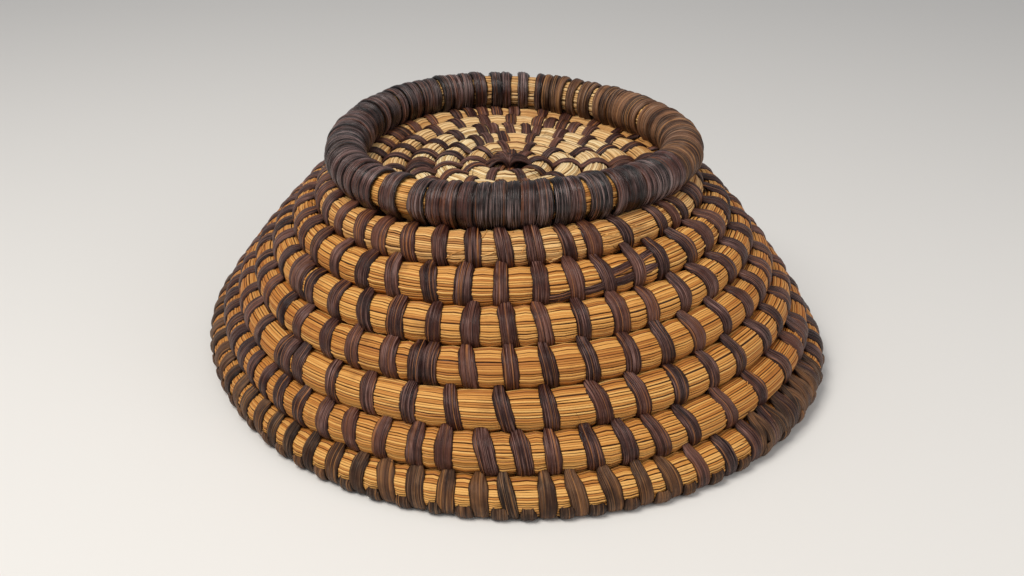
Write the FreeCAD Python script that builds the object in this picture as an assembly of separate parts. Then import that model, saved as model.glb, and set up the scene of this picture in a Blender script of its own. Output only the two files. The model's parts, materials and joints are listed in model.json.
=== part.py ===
import FreeCAD, Part
import math
import os
import random

# A coiled straw basket, standing on its rim with the mouth down.
# One bundle of straw runs in a spiral from the middle of the base to the rim. Dark bark
# splints sew each turn to the one inside it. A wrapped straw hoop on the base is its foot.
# Lengths are millimetres. +X is right, +Y is away from the viewer and +Z is up. The floor,
# where the rim stands, is z = 0, and the origin is the middle of the part's box.

Vector = FreeCAD.Vector

# The straw bundle: turn to turn distance and the clearance left between two turns
WALL_PITCH = 21.0
BASE_PITCH = 16.6
TURN_GAP = 1.2
BASE_TURNS = 6
WALL_TURNS = 7
SIDES = 6

# The wall's profile is one arc, which starts at the first course and steepens to the rim
TOP_COURSE_RADIUS = 107.4
TOP_SLOPE = math.radians(44.8)
SLOPE_STEP = math.radians(2.7)
RIM_CENTRE_HEIGHT = 8.0
BASE_LIFT = 3.0

# The spiral winds clockwise seen from above. Each turn is level for its first part and then
# moves out by one turn, and the last turn thins to a tail there, so that the rim is level.
SPIRAL_START = math.radians(-62.0)
LEVEL_PART = 0.40
TAIL_END = 0.85
START_RADIUS = 2.6
START_TAPER = 0.5
LEAST_TAIL = 1.2
BASE_SECTIONS = 24
WALL_SECTIONS = 32

# Out of round: the sin 2a, cos 3a and sin 3a shares of the radius, at the top and at the rim
TOP_SHAPE = (0.0, 0.032, -0.021)
RIM_SHAPE = (-0.057, 0.024, 0.010)
TOP_OFFSET = (1.5, 0.0)
AXIS = (-2.31, 1.51)

# The foot ring: a straw hoop with a tight wrap, on the base and the first course
RING_RADIUS = 99.8
RING_CORE_RADIUS = 10.5
RING_RISE = 21.1
RING_OFFSET = (1.9, 4.3)
RING_SECTIONS = 36
RING_BUTT = math.radians(30.0)
RING_BUTT_GAP = 0.4
RING_WRAPS = 80
RING_WRAP_SHARE = 0.86
RING_WRAP_TUCK = (125.0, 0.85)
BROWN_WRAPS = (math.radians(-30.0), math.radians(75.0))

# Splints: bark strips, about 9 mm wide
SPLINT_WIDTH = 9.2
SPLINT_THICKNESS = 1.2
SPLINT_BITE = 0.5
RIM_BITE = 2.4
WIDTH_SPREAD = 0.12
PLACE_SPREAD = 0.10
SPLINT_LEAN = math.radians(9.0)
BASE_STITCHES = (8, 10, 15, 20, 25, 30)
WALL_STITCHES = (43, 42, 45, 46, 44, 62)
RIM_STITCHES = 66
CENTRE_WIDTH = 4.6
KNOT_RADII = (3.0, 5.2, 2.4)
END_WRAPS = 8
END_WRAP_STEP = 0.010
END_WRAP_OVERRUN = 0.055

# Two splint ends, laid aslant along the second course under its stitches, at the right of the
# front: where each starts and ends, as plan angle and angle round the bundle
TAIL_TURN = BASE_TURNS + 1
TAILS = (((-84.0, 60.0), (-52.0, 18.0)), ((-66.5, 10.0), (-51.5, -24.0)))
TAIL_WIDTH = 4.8
TAIL_THICKNESS = 0.6
TAIL_SECTIONS = 9

FULL = 2 * math.pi
WALL_START = BASE_TURNS
LAST_TURN = BASE_TURNS + WALL_TURNS - 1
ARC = WALL_PITCH / SLOPE_STEP
TOP_HEIGHT = RIM_CENTRE_HEIGHT + ARC * (
    math.cos(TOP_SLOPE) - math.cos(TOP_SLOPE + (WALL_TURNS - 1) * SLOPE_STEP)
)
BASE_RADIUS = (BASE_PITCH - TURN_GAP) / 2
TAIL_START = LAST_TURN + LEVEL_PART
COIL_END = TAIL_START + (1 - LEVEL_PART) * TAIL_END
RIM_RADIUS = TOP_COURSE_RADIUS + ARC * (
    math.sin(TOP_SLOPE + (WALL_TURNS - 1) * SLOPE_STEP) - math.sin(TOP_SLOPE)
)


def mix(a, b, share):
    """The value this share of the way from a to b."""
    return a + (b - a) * share


def profile(level):
    """Radius, height and slope of the bundle's centre, this many turns out from the first."""
    wall = level - WALL_START
    if wall >= 0:
        slope = TOP_SLOPE + wall * SLOPE_STEP
        radius = TOP_COURSE_RADIUS + ARC * (math.sin(slope) - math.sin(TOP_SLOPE))
        height = TOP_HEIGHT - ARC * (math.cos(TOP_SLOPE) - math.cos(slope))
        return radius, height, slope
    share = max(0.0, wall + 1)
    join = (WALL_PITCH + BASE_PITCH) / 2
    radius = TOP_COURSE_RADIUS - join * (1 - share) + min(0.0, wall + 1) * BASE_PITCH
    return radius, TOP_HEIGHT + BASE_LIFT * (1 - share), TOP_SLOPE * share


def in_plan(angle, radius, depth, offset):
    """A plan point, out of round as the basket is. depth is 0 at the top and 1 at the rim."""
    sin2, cos3, sin3 = (mix(t, r, depth) for t, r in zip(TOP_SHAPE, RIM_SHAPE))
    factor = 1 + sin2 * math.sin(2 * angle) + cos3 * math.cos(3 * angle) + sin3 * math.sin(3 * angle)
    x = radius * factor * math.cos(angle) + offset[0] * (1 - depth) + AXIS[0]
    y = radius * factor * math.sin(angle) + offset[1] * (1 - depth) + AXIS[1]
    return x, y


class Section:
    """A cross-section: its centre, the outward and down-the-wall directions, and its radius."""

    def __init__(self, centre, out, down, radius):
        self.centre = centre
        self.out = out
        self.down = down
        self.radius = radius

    def point(self, degrees, radius):
        """The point at this angle from outward, turning down the wall."""
        a = math.radians(degrees)
        return self.centre + self.out * (radius * math.cos(a)) + self.down * (radius * math.sin(a))

    def skin(self, degrees):
        """The distance from the centre to the outline at this angle."""
        half = 180.0 / SIDES
        from_flat = (degrees + half) % (2 * half) - half
        return self.radius * math.cos(math.radians(half)) / math.cos(math.radians(from_flat))

    def corners(self):
        """The corners of the bundle's outline, which has a flat facing outward."""
        step = 360.0 / SIDES
        return [self.point(step * (i + 0.5), self.radius) for i in range(SIDES)]


def between(a, b, share):
    """The section this share of the way from a to b, on the straight stretch between them."""
    out = (a.out * (1 - share) + b.out * share).normalize()
    down = (a.down * (1 - share) + b.down * share).normalize()
    return Section(a.centre * (1 - share) + b.centre * share, out, down, mix(a.radius, b.radius, share))


def section_at(angle, radius, height, slope, depth, offset, thickness):
    """A cross-section in the upright plane through the axis at this angle."""
    x, y = in_plan(angle, radius, depth, offset)
    side = Vector(math.cos(angle), math.sin(angle), 0)
    up = Vector(0, 0, 1)
    out = side * math.sin(slope) + up * math.cos(slope)
    down = side * math.cos(slope) - up * math.sin(slope)
    return Section(Vector(x, y, height), out, down, thickness)


def coil_angle(turns):
    """The plan angle after this many turns of the spiral."""
    return SPIRAL_START - FULL * turns


def coil_place(turns):
    """The bundle's cross-section after this many turns, of no size yet."""
    whole = min(math.floor(turns), LAST_TURN)
    ramp = max(0.0, (turns - whole - LEVEL_PART) / (1 - LEVEL_PART))
    level = whole + (ramp / 2 if whole == LAST_TURN else ramp)
    radius, height, slope = profile(level)
    depth = max(0.0, level - WALL_START) / (WALL_TURNS - 1)
    return section_at(coil_angle(turns), radius, height, slope, depth, TOP_OFFSET, 0.0)


def spacing(turns):
    """The distance from the bundle to its next turn out."""
    return (coil_place(turns + 1).centre - coil_place(turns).centre).Length


def bundle_radius(turns):
    """Half the bundle's width: it fills the room between its neighbours, and tapers at both ends."""
    inner = spacing(turns - 1) if turns >= 1 else spacing(turns)
    if turns > TAIL_START:
        return max(LEAST_TAIL, inner - bundle_radius(turns - 1) - TURN_GAP)
    outer = spacing(turns) if turns + 1 <= TAIL_START else inner
    full = (inner + outer) / 4 - TURN_GAP / 2
    return mix(START_RADIUS, full, min(1.0, turns / START_TAPER))


def coil_section(turns):
    """The bundle's cross-section after this many turns."""
    section = coil_place(turns)
    section.radius = bundle_radius(turns)
    return section


def coil_stations():
    """Turn counts at which the bundle has a cross-section, finer in the wall than in the base."""
    base = [i / BASE_SECTIONS for i in range(WALL_START * BASE_SECTIONS)]
    count = int((COIL_END - WALL_START) * WALL_SECTIONS)
    wall = [WALL_START + i / WALL_SECTIONS for i in range(count + 1)]
    return base + wall + [COIL_END]


STATIONS = coil_stations()
SECTIONS = [coil_section(t) for t in STATIONS]
WALL_STATION = WALL_START * BASE_SECTIONS
FLATNESS = 1e-5


def seat(turns):
    """The cross-section where a splint sits, on the straight stretch between two stations."""
    if turns < WALL_START:
        i = int(turns * BASE_SECTIONS)
    else:
        i = WALL_STATION + int((turns - WALL_START) * WALL_SECTIONS)
    i = min(i, len(STATIONS) - 2)
    share = (turns - STATIONS[i]) / (STATIONS[i + 1] - STATIONS[i])
    return between(SECTIONS[i], SECTIONS[i + 1], min(1.0, share)), SECTIONS[i + 1].centre - SECTIONS[i].centre


def bundle(sections):
    """A straw bundle through these cross-sections, closed at both ends, with flat facets."""
    points = [p for s in sections for p in s.corners()]
    facets = []
    for start in range(0, len(points) - SIDES, SIDES):
        for i in range(SIDES):
            a, b = start + i, start + (i + 1) % SIDES
            facets += [(a, b, b + SIDES), (a, b + SIDES, a + SIDES)]
    last = len(points) - SIDES
    for i in range(1, SIDES - 1):
        facets += [(0, i + 1, i), (last, last + i, last + i + 1)]
    skin = Part.Shape()
    skin.makeShapeFromMesh((points, facets), 0.001)
    solid = Part.Solid(skin)
    if solid.Volume < 0:
        solid.reverse()
    return solid


def flat_faces(corners):
    """One plane face through four corners, or two where the corners don't share a plane."""
    a, b, c, d = corners
    normal = (b - a).cross(c - a).normalize()
    loops = [corners] if abs((d - a).dot(normal)) < FLATNESS else [[a, b, c], [a, c, d]]
    return [Part.Face(Part.makePolygon(loop + loop[:1])) for loop in loops]


def skin(outlines):
    """A solid through closed outlines of as many corners each, with only flat faces."""
    faces = [Part.Face(Part.makePolygon(ends + ends[:1])) for ends in (outlines[0], outlines[-1])]
    for near, far in zip(outlines, outlines[1:]):
        for i in range(len(near)):
            faces += flat_faces([near[i - 1], near[i], far[i], far[i - 1]])
    shell = Part.Compound(faces)
    shell.sewShape()
    solid = Part.Solid(shell.Shells[0])
    if solid.Volume < 0:
        solid.reverse()
    return solid


def floor_cut(shape):
    """The shape without what lies below the floor, where the rim is worn flat."""
    reach = 2 * RIM_RADIUS
    box = Part.makeBox(2 * reach, 2 * reach, reach, Vector(-reach, -reach, -reach))
    return shape.cut(box) if shape.BoundBox.ZMin < 0 else shape


def base_coil():
    """The bundle's turns in the base, up to where the spiral turns down into the wall."""
    return bundle(SECTIONS[:WALL_STATION + 1])


def wall_coil():
    """The bundle's turns in the wall, with its worn underside and its tail at the rim."""
    return floor_cut(bundle(SECTIONS[WALL_STATION:]))


def least_gap():
    """The least clearance between two turns, from points all along the spiral."""
    best = WALL_PITCH
    count = int((COIL_END - 1) * WALL_SECTIONS * 2)
    for i in range(count):
        inner = i / (WALL_SECTIONS * 2)
        a, _ = seat(inner)
        b, _ = seat(inner + 1)
        best = min(best, (b.centre - a.centre).Length - a.radius - b.radius)
    return best


def band_outline(section, last, thickness, bite):
    """A splint's outline round the bundle: full over the corners, thin at both tucked ends."""
    step = 360 // SIDES
    corners = range(step - 90, last, step)
    outer = [section.point(c, section.radius + thickness) for c in corners]
    inner = [section.point(c, section.radius - bite) for c in reversed(corners)]
    start = section.point(-90, section.skin(-90) - bite)
    end = section.point(last, section.skin(last) - bite)
    return [start] + outer + [end] + inner


def band(turns, width, lean, last=90, thickness=SPLINT_THICKNESS, bite=SPLINT_BITE):
    """One stitch: a bark strip over the bundle, with its ends tucked in beside the next turns."""
    section, along = seat(turns)
    along = along.normalize()
    points = []
    for p in band_outline(section, last, thickness, bite):
        drop = (p - section.centre).dot(section.down)
        points.append(p + along * (drop * math.tan(lean) - width / 2))
    face = Part.Face(Part.makePolygon(points + points[:1]))
    return face.extrude(along * width)


def stitch_places(turn, count, end):
    """Place, width and lean of each stitch of a turn, as uneven as handwork."""
    chance = random.Random(turn)
    for i in range(count):
        place = turn + (i + 0.5 + PLACE_SPREAD * chance.uniform(-1, 1)) / count * end
        yield place, 1 + WIDTH_SPREAD * chance.uniform(-1, 1), -SPLINT_LEAN * (1 + chance.uniform(-1, 1))


def stitches(turn, count, width=SPLINT_WIDTH):
    """The stitches of one turn."""
    return Part.makeCompound([band(t, width * w, lean) for t, w, lean in stitch_places(turn, count, 1.0)])


def rim_stitches():
    """The rim's stitches, which go round under the bundle and are worn flat with it."""
    bands = []
    for turns, width, lean in stitch_places(LAST_TURN, RIM_STITCHES, COIL_END - LAST_TURN):
        bite = min(RIM_BITE, seat(turns)[0].radius / 2)
        worn = floor_cut(band(turns, SPLINT_WIDTH * width, lean, last=180, bite=bite))
        bands.append(max(worn.Solids, key=lambda solid: solid.Volume))
    return Part.makeCompound(bands)


def ring_section(angle):
    """The foot ring's cross-section at this plan angle."""
    return section_at(angle, RING_RADIUS, TOP_HEIGHT + RING_RISE, 0.0, 0.0, RING_OFFSET, RING_CORE_RADIUS)


def ring_angle(share):
    """The plan angle this share of the way round the hoop, from its butt joint."""
    slit = RING_BUTT_GAP / RING_RADIUS
    return RING_BUTT + slit / 2 + (FULL - slit) * share


RING = [ring_section(ring_angle(i / RING_SECTIONS)) for i in range(RING_SECTIONS + 1)]


def ring_seat(share):
    """The hoop's cross-section this share of the way round, on its straight stretches."""
    i = min(int(share * RING_SECTIONS), RING_SECTIONS - 1)
    return between(RING[i], RING[i + 1], share * RING_SECTIONS - i)


def ring_wrap(share):
    """One wrap of the foot ring, a wedge that is narrower inside the hoop than outside."""
    tuck, inner = RING_WRAP_TUCK
    outlines = []
    for side in (-0.5, 0.5):
        section = ring_seat(share + side * RING_WRAP_SHARE / RING_WRAPS)
        full = section.radius + SPLINT_THICKNESS
        deep = section.radius - SPLINT_BITE
        points = [section.point(-tuck, deep * inner)]
        points += [section.point(a, full) for a in (-90.0, -30.0, 30.0, 90.0)]
        points.append(section.point(tuck, deep * inner))
        points += [section.point(a, deep) for a in (90.0, 30.0, -30.0, -90.0)]
        outlines.append(points)
    return skin(outlines)


def ring_wraps(brown):
    """The foot ring's wraps: the browner, newer splints of the right side, or the dark rest."""
    wraps = []
    for i in range(RING_WRAPS):
        share = (i + 0.5) / RING_WRAPS
        angle = (ring_angle(share) + math.pi) % FULL - math.pi
        if (BROWN_WRAPS[0] < angle < BROWN_WRAPS[1]) == brown:
            wraps.append(ring_wrap(share))
    return Part.makeCompound(wraps)


def centre_knot():
    """The folded start of the first splint, a small button in the eye of the spiral."""
    x, y = in_plan(0.0, 0.0, 0.0, TOP_OFFSET)
    heights = (-BASE_RADIUS, BASE_RADIUS / 2, BASE_RADIUS + SPLINT_THICKNESS)
    around = [FULL * i / SIDES for i in range(SIDES)]
    outlines = []
    for height, radius in zip(heights, KNOT_RADII):
        middle = Vector(x, y, SECTIONS[0].centre.z + height)
        outlines.append([middle + Vector(radius * math.cos(a), radius * math.sin(a), 0) for a in around])
    return skin(outlines)


def end_wrap():
    """The close wraps that bind the thin tail of the bundle to the turn inside it."""
    bands = []
    for i in range(END_WRAPS):
        turns = COIL_END - 1 + END_WRAP_OVERRUN - i * END_WRAP_STEP
        lean = SPLINT_LEAN * (1 if i % 2 else -2)
        bands.append(band(turns, SPLINT_WIDTH, lean, thickness=2 * SPLINT_THICKNESS))
    return floor_cut(Part.makeCompound(bands))


def tail_outline(angle, around):
    """A thin strip's outline on the bundle, at this plan angle and angle round the bundle."""
    section, _ = seat(TAIL_TURN + (SPIRAL_START - math.radians(angle)) / FULL)
    a = math.radians(around)
    middle = section.point(around, section.skin(around) + TAIL_THICKNESS / 2)
    across = (section.down * math.cos(a) - section.out * math.sin(a)) * (TAIL_WIDTH / 2)
    thin = (section.out * math.cos(a) + section.down * math.sin(a)) * (TAIL_THICKNESS / 2)
    return [middle - across - thin, middle + across - thin, middle + across + thin, middle - across + thin]


def splint_tails():
    """The two splint ends that lie aslant along the second course."""
    strips = []
    for start, end in TAILS:
        shares = [i / (TAIL_SECTIONS - 1) for i in range(TAIL_SECTIONS)]
        places = [(mix(start[0], end[0], s), mix(start[1], end[1], s)) for s in shares]
        strips.append(skin([tail_outline(angle, around) for angle, around in places]))
    return Part.makeCompound(strips)


def sub_parts():
    """Every node's name and shape."""
    parts = {"straw_coil_base": base_coil(), "straw_coil": wall_coil(), "centre_knot": centre_knot()}
    for turn, count in enumerate(BASE_STITCHES):
        width = CENTRE_WIDTH if turn == 0 else SPLINT_WIDTH
        parts[f"base_stitches_{turn + 1}"] = stitches(turn, count, width)
    for course, count in enumerate(WALL_STITCHES):
        parts[f"wall_stitches_{course + 1}"] = floor_cut(stitches(WALL_START + course, count))
    parts["rim_stitches"] = rim_stitches()
    parts["rim_end_wrap"] = end_wrap()
    parts["splint_tail"] = splint_tails()
    parts["foot_ring_core"] = bundle(RING)
    parts["foot_ring_wrap_dark"] = ring_wraps(False)
    parts["foot_ring_wrap_brown"] = ring_wraps(True)
    return parts


def main():
    os.makedirs("parts", exist_ok=True)
    print("least gap between turns", round(least_gap(), 2))
    box = FreeCAD.BoundBox()
    for name, shape in sub_parts().items():
        box.add(shape.BoundBox)
        shape.exportStep(f"parts/{name}.step")
        print(name, len(shape.Solids), round(shape.Volume), shape.isValid(), round(shape.BoundBox.ZMin, 2))
    print("box", box)


main()
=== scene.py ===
import json
import math
import random

import bpy
import numpy as np
from mathutils import Matrix, Vector

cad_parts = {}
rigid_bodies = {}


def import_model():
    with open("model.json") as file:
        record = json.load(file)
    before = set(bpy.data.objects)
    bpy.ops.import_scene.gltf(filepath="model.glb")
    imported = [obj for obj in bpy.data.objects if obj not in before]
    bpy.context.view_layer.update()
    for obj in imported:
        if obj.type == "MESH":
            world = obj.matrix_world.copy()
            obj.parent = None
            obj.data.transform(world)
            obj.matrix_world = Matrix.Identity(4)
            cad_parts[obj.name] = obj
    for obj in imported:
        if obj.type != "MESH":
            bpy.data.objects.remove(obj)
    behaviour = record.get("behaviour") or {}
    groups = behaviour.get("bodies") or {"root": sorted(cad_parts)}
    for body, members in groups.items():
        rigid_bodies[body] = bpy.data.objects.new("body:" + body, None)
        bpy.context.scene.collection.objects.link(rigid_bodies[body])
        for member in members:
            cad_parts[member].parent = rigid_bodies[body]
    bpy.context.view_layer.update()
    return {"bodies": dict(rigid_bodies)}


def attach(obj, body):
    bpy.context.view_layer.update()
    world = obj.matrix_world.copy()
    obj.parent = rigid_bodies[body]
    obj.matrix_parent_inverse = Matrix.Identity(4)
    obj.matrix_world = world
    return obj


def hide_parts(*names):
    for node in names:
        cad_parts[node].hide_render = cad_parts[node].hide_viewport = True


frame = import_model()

# A coiled straw basket on its rim. Lengths are millimetres here, as in the part's source,
# and become metres when a mesh is made.
MM = 0.001

# The coil's route, as in the part's source
WALL_PITCH = 21.0
BASE_PITCH = 16.6
TURN_GAP = 1.2
BASE_TURNS = 6
WALL_TURNS = 7
TOP_COURSE_RADIUS = 107.4
TOP_SLOPE = math.radians(44.8)
SLOPE_STEP = math.radians(2.7)
RIM_CENTRE_HEIGHT = 8.0
BASE_LIFT = 3.0
SPIRAL_START = math.radians(-62.0)
LEVEL_PART = 0.40
TAIL_END = 0.85
START_RADIUS = 2.6
START_TAPER = 0.5
LEAST_TAIL = 1.2
TOP_SHAPE = (0.0, 0.032, -0.021)
RIM_SHAPE = (-0.057, 0.024, 0.010)
TOP_OFFSET = (1.5, 0.0)
AXIS = (-2.31, 1.51)

# The foot ring
RING_RADIUS = 99.8
RING_CORE_RADIUS = 10.5
RING_RISE = 21.1
RING_OFFSET = (1.9, 4.3)

# Stitches, as in the part's source
SPLINT_WIDTH = 9.2
WIDTH_SPREAD = 0.12
PLACE_SPREAD = 0.10
SPLINT_LEAN = math.radians(9.0)
BASE_STITCHES = (8, 10, 15, 20, 25, 30)
WALL_STITCHES = (43, 42, 45, 46, 44, 62)
RIM_STITCHES = 66
END_WRAPS = 8
END_WRAP_STEP = 0.010
END_WRAP_OVERRUN = 0.055
TAIL_TURN = BASE_TURNS + 1
TAILS = (((-84.0, 60.0), (-52.0, 18.0)), ((-66.5, 10.0), (-51.5, -24.0)))
TAIL_WIDTH = 4.8

FULL = 2 * math.pi
LAST_TURN = BASE_TURNS + WALL_TURNS - 1
TAIL_START = LAST_TURN + LEVEL_PART
COIL_END = TAIL_START + (1 - LEVEL_PART) * TAIL_END
ARC = WALL_PITCH / SLOPE_STEP
RIM_SLOPE = TOP_SLOPE + (WALL_TURNS - 1) * SLOPE_STEP
TOP_HEIGHT = RIM_CENTRE_HEIGHT + ARC * (math.cos(TOP_SLOPE) - math.cos(RIM_SLOPE))

# The rim is worn flat where it stands: below this height everything is pressed together
SOLE = 2.6

chance = np.random.default_rng(11)


def mix(a, b, share):
    """The value this share of the way from a to b."""
    return a + (b - a) * share


def ease(value):
    """A smooth step from 0 to 1."""
    share = np.clip(value, 0, 1)
    return share * share * (3 - 2 * share)


def profile(level):
    """Radius, height and slope of the bundle's centre, this many turns out from the first."""
    wall = level - BASE_TURNS
    share = np.clip(wall + 1, 0, 1)
    slope = TOP_SLOPE + np.maximum(wall, 0) * SLOPE_STEP
    radius = TOP_COURSE_RADIUS + ARC * (np.sin(slope) - math.sin(TOP_SLOPE))
    height = TOP_HEIGHT - ARC * (math.cos(TOP_SLOPE) - np.cos(slope))
    join = (WALL_PITCH + BASE_PITCH) / 2
    base_radius = TOP_COURSE_RADIUS - join * (1 - share) + np.minimum(wall + 1, 0) * BASE_PITCH
    radius = np.where(wall < 0, base_radius, radius)
    height = np.where(wall < 0, TOP_HEIGHT + BASE_LIFT * (1 - share), height)
    return radius, height, np.where(wall < 0, TOP_SLOPE * share, slope)


def section_axes(angle, radius, height, slope, depth, offset):
    """Centres of cross-sections at these plan angles, and their outward and down directions."""
    sin2, cos3, sin3 = (mix(t, r, depth) for t, r in zip(TOP_SHAPE, RIM_SHAPE))
    factor = 1 + sin2 * np.sin(2 * angle) + cos3 * np.cos(3 * angle) + sin3 * np.sin(3 * angle)
    x = radius * factor * np.cos(angle) + offset[0] * (1 - depth) + AXIS[0]
    y = radius * factor * np.sin(angle) + offset[1] * (1 - depth) + AXIS[1]
    centre = np.stack([x, y, height + 0 * x], -1)
    side = np.stack([np.cos(angle), np.sin(angle), 0 * angle], -1)
    up = np.array([0.0, 0.0, 1.0])
    sine, cosine = np.sin(slope)[:, None], np.cos(slope)[:, None]
    return centre, side * sine + up * cosine, side * cosine - up * sine


def coil_place(turns):
    """Centre and directions of the bundle after these many turns."""
    whole = np.minimum(np.floor(turns), LAST_TURN)
    ramp = np.maximum(0, (turns - whole - LEVEL_PART) / (1 - LEVEL_PART))
    level = whole + np.where(whole == LAST_TURN, ramp / 2, ramp)
    radius, height, slope = profile(level)
    depth = np.maximum(0, level - BASE_TURNS) / (WALL_TURNS - 1)
    return section_axes(SPIRAL_START - FULL * turns, radius, height, slope, depth, TOP_OFFSET)


def spacing(turns):
    """The distance from the bundle to its next turn out."""
    return np.linalg.norm(coil_place(turns + 1)[0] - coil_place(turns)[0], axis=1)


def bundle_radius(turns):
    """Half the bundle's width: it fills the room between its neighbours and tapers at its ends."""
    inner = spacing(np.where(turns >= 1, turns - 1, turns))
    outer = np.where(turns + 1 <= TAIL_START, spacing(turns), inner)
    full = (inner + outer) / 4 - TURN_GAP / 2
    body = mix(START_RADIUS, full, np.minimum(1, turns / START_TAPER))
    if np.all(turns <= TAIL_START):
        return body
    before = bundle_radius(np.minimum(turns, COIL_END) - 1)
    return np.where(turns > TAIL_START, np.maximum(LEAST_TAIL, inner - before - TURN_GAP), body)


class Route:
    """A bundle's route, finely sampled: where it is, which way it faces and how thick it is."""

    def __init__(self, at, centre, out, down, radius):
        self.at = at
        steps = np.linalg.norm(np.diff(centre, axis=0), axis=1)
        self.length = np.concatenate([[0], np.cumsum(steps)])
        along = np.gradient(centre, axis=0)
        along /= np.linalg.norm(along, axis=1)[:, None]
        self.table = np.concatenate([centre, out, down, along, radius[:, None]], axis=1)

    def sample(self, at):
        """Centre, outward, down and along directions and radius at these places."""
        row = np.stack([np.interp(at, self.at, column) for column in self.table.T], -1)
        return row[..., 0:3], row[..., 3:6], row[..., 6:9], row[..., 9:12], row[..., 12]

    def run(self, at):
        """The length along the route at these places."""
        return np.interp(at, self.at, self.length)

    def place(self, run):
        """The places at these lengths along the route."""
        return np.interp(run, self.length, self.at)


def coil_route():
    """The straw coil's route, by turns."""
    at = np.linspace(0, COIL_END, 6000)
    return Route(at, *coil_place(at), bundle_radius(at))


def ring_route():
    """The foot ring's route, by plan angle, a little more than once round."""
    at = np.linspace(-1.1 * math.pi, 1.1 * math.pi, 1600)
    flat = np.zeros_like(at)
    radius = flat + RING_RADIUS
    axes = section_axes(at, radius, flat + TOP_HEIGHT + RING_RISE, flat, flat, RING_OFFSET)
    return Route(at, *axes, flat + RING_CORE_RADIUS)


BODY = next(iter(frame["bodies"]))
COIL = coil_route()
RING = ring_route()


def stitch_places(turn, count, end):
    """Place, width and lean of each stitch of a turn, drawn as the part's source draws them."""
    draw = random.Random(turn)
    rows = []
    for i in range(count):
        place = turn + (i + 0.5 + PLACE_SPREAD * draw.uniform(-1, 1)) / count * end
        width = 1 + WIDTH_SPREAD * draw.uniform(-1, 1)
        rows.append((place, width, -SPLINT_LEAN * (1 + draw.uniform(-1, 1))))
    return np.array(rows)


STITCHES = [stitch_places(t, n, 1.0) for t, n in enumerate(BASE_STITCHES + WALL_STITCHES)]
STITCHES.append(stitch_places(LAST_TURN, RIM_STITCHES, COIL_END - LAST_TURN))

# Doubled stitches: the share of them in the base and wall, and how far a twin is from its stitch
BASE_TWINS = 0.12
WALL_TWINS = 0.04
TWIN_GAP = SPLINT_WIDTH * 1.02
CENTRE_TWIN_GAP = 3.5


def twins(rows, share, apart):
    """A second stitch beside some of these, this far along the bundle."""
    some = rows[chance.random(len(rows)) < share].copy()
    some[:, 0] = COIL.place(COIL.run(some[:, 0]) + apart * chance.uniform(0.85, 1.15, len(some)))
    some[:, 2] += chance.normal(0, 0.05, len(some))
    return some


def turn_twins(turn):
    """The second stitches of a turn: all at the back of the first, none on the second or the tail's."""
    if turn == 0:
        back = np.sin(SPIRAL_START - FULL * STITCHES[0][:, 0]) > -0.3
        return twins(STITCHES[0][back], 1.0, CENTRE_TWIN_GAP)
    share = WALL_TWINS if turn >= BASE_TURNS else BASE_TWINS
    if turn in (1, TAIL_TURN):
        share = 0.0
    return twins(STITCHES[turn], share, TWIN_GAP)


def end_wraps():
    """Place, width and lean of the close wraps that bind the thin tail of the bundle."""
    steps = np.arange(2, END_WRAPS * 2) / 2
    places = COIL_END - 1 + END_WRAP_OVERRUN - steps * END_WRAP_STEP
    leans = SPLINT_LEAN * np.where(steps % 1 == 0, 1.0, -2.0) + chance.normal(0, 0.12, len(steps))
    return np.stack([places, chance.uniform(0.7, 1.15, len(steps)), leans], -1)


TWINS = [turn_twins(turn) for turn in range(LAST_TURN)]
END_ROWS = end_wraps()
ALL_PLACES = np.sort(np.concatenate([rows[:, 0] for rows in STITCHES + TWINS + [END_ROWS]]))

# The bundle swells to meet its neighbours, bulges between stitches and is pinched under them
SWELL = 0.95
PINCH = 0.085
BULGE = 0.025
PINCH_REACH = 5.2


def swollen(radius):
    """A bundle's real radius, for the solid's."""
    return radius + SWELL * np.minimum(1, radius / 6)


def tightness(at):
    """The bundle's radius at these places over its plain radius, from the nearest stitch."""
    run = COIL.run(at)
    stitch_runs = COIL.run(ALL_PLACES)
    k = np.clip(np.searchsorted(stitch_runs, run), 1, len(stitch_runs) - 1)
    far = np.minimum(abs(run - stitch_runs[k - 1]), abs(stitch_runs[k] - run))
    return 1 + BULGE - (PINCH + BULGE) * np.exp(-((far / PINCH_REACH) ** 4))


def join_meshes(meshes):
    """Several sets of points, quads, grain coordinates and values as one."""
    start = np.cumsum([0] + [len(m[0]) for m in meshes[:-1]])
    points = np.concatenate([m[0] for m in meshes])
    quads = np.concatenate([m[1] + s for m, s in zip(meshes, start)])
    grain = np.concatenate([m[2] for m in meshes])
    values = {key: np.concatenate([m[3][key] for m in meshes]) for key in meshes[0][3]}
    return points, quads, grain, values


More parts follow.
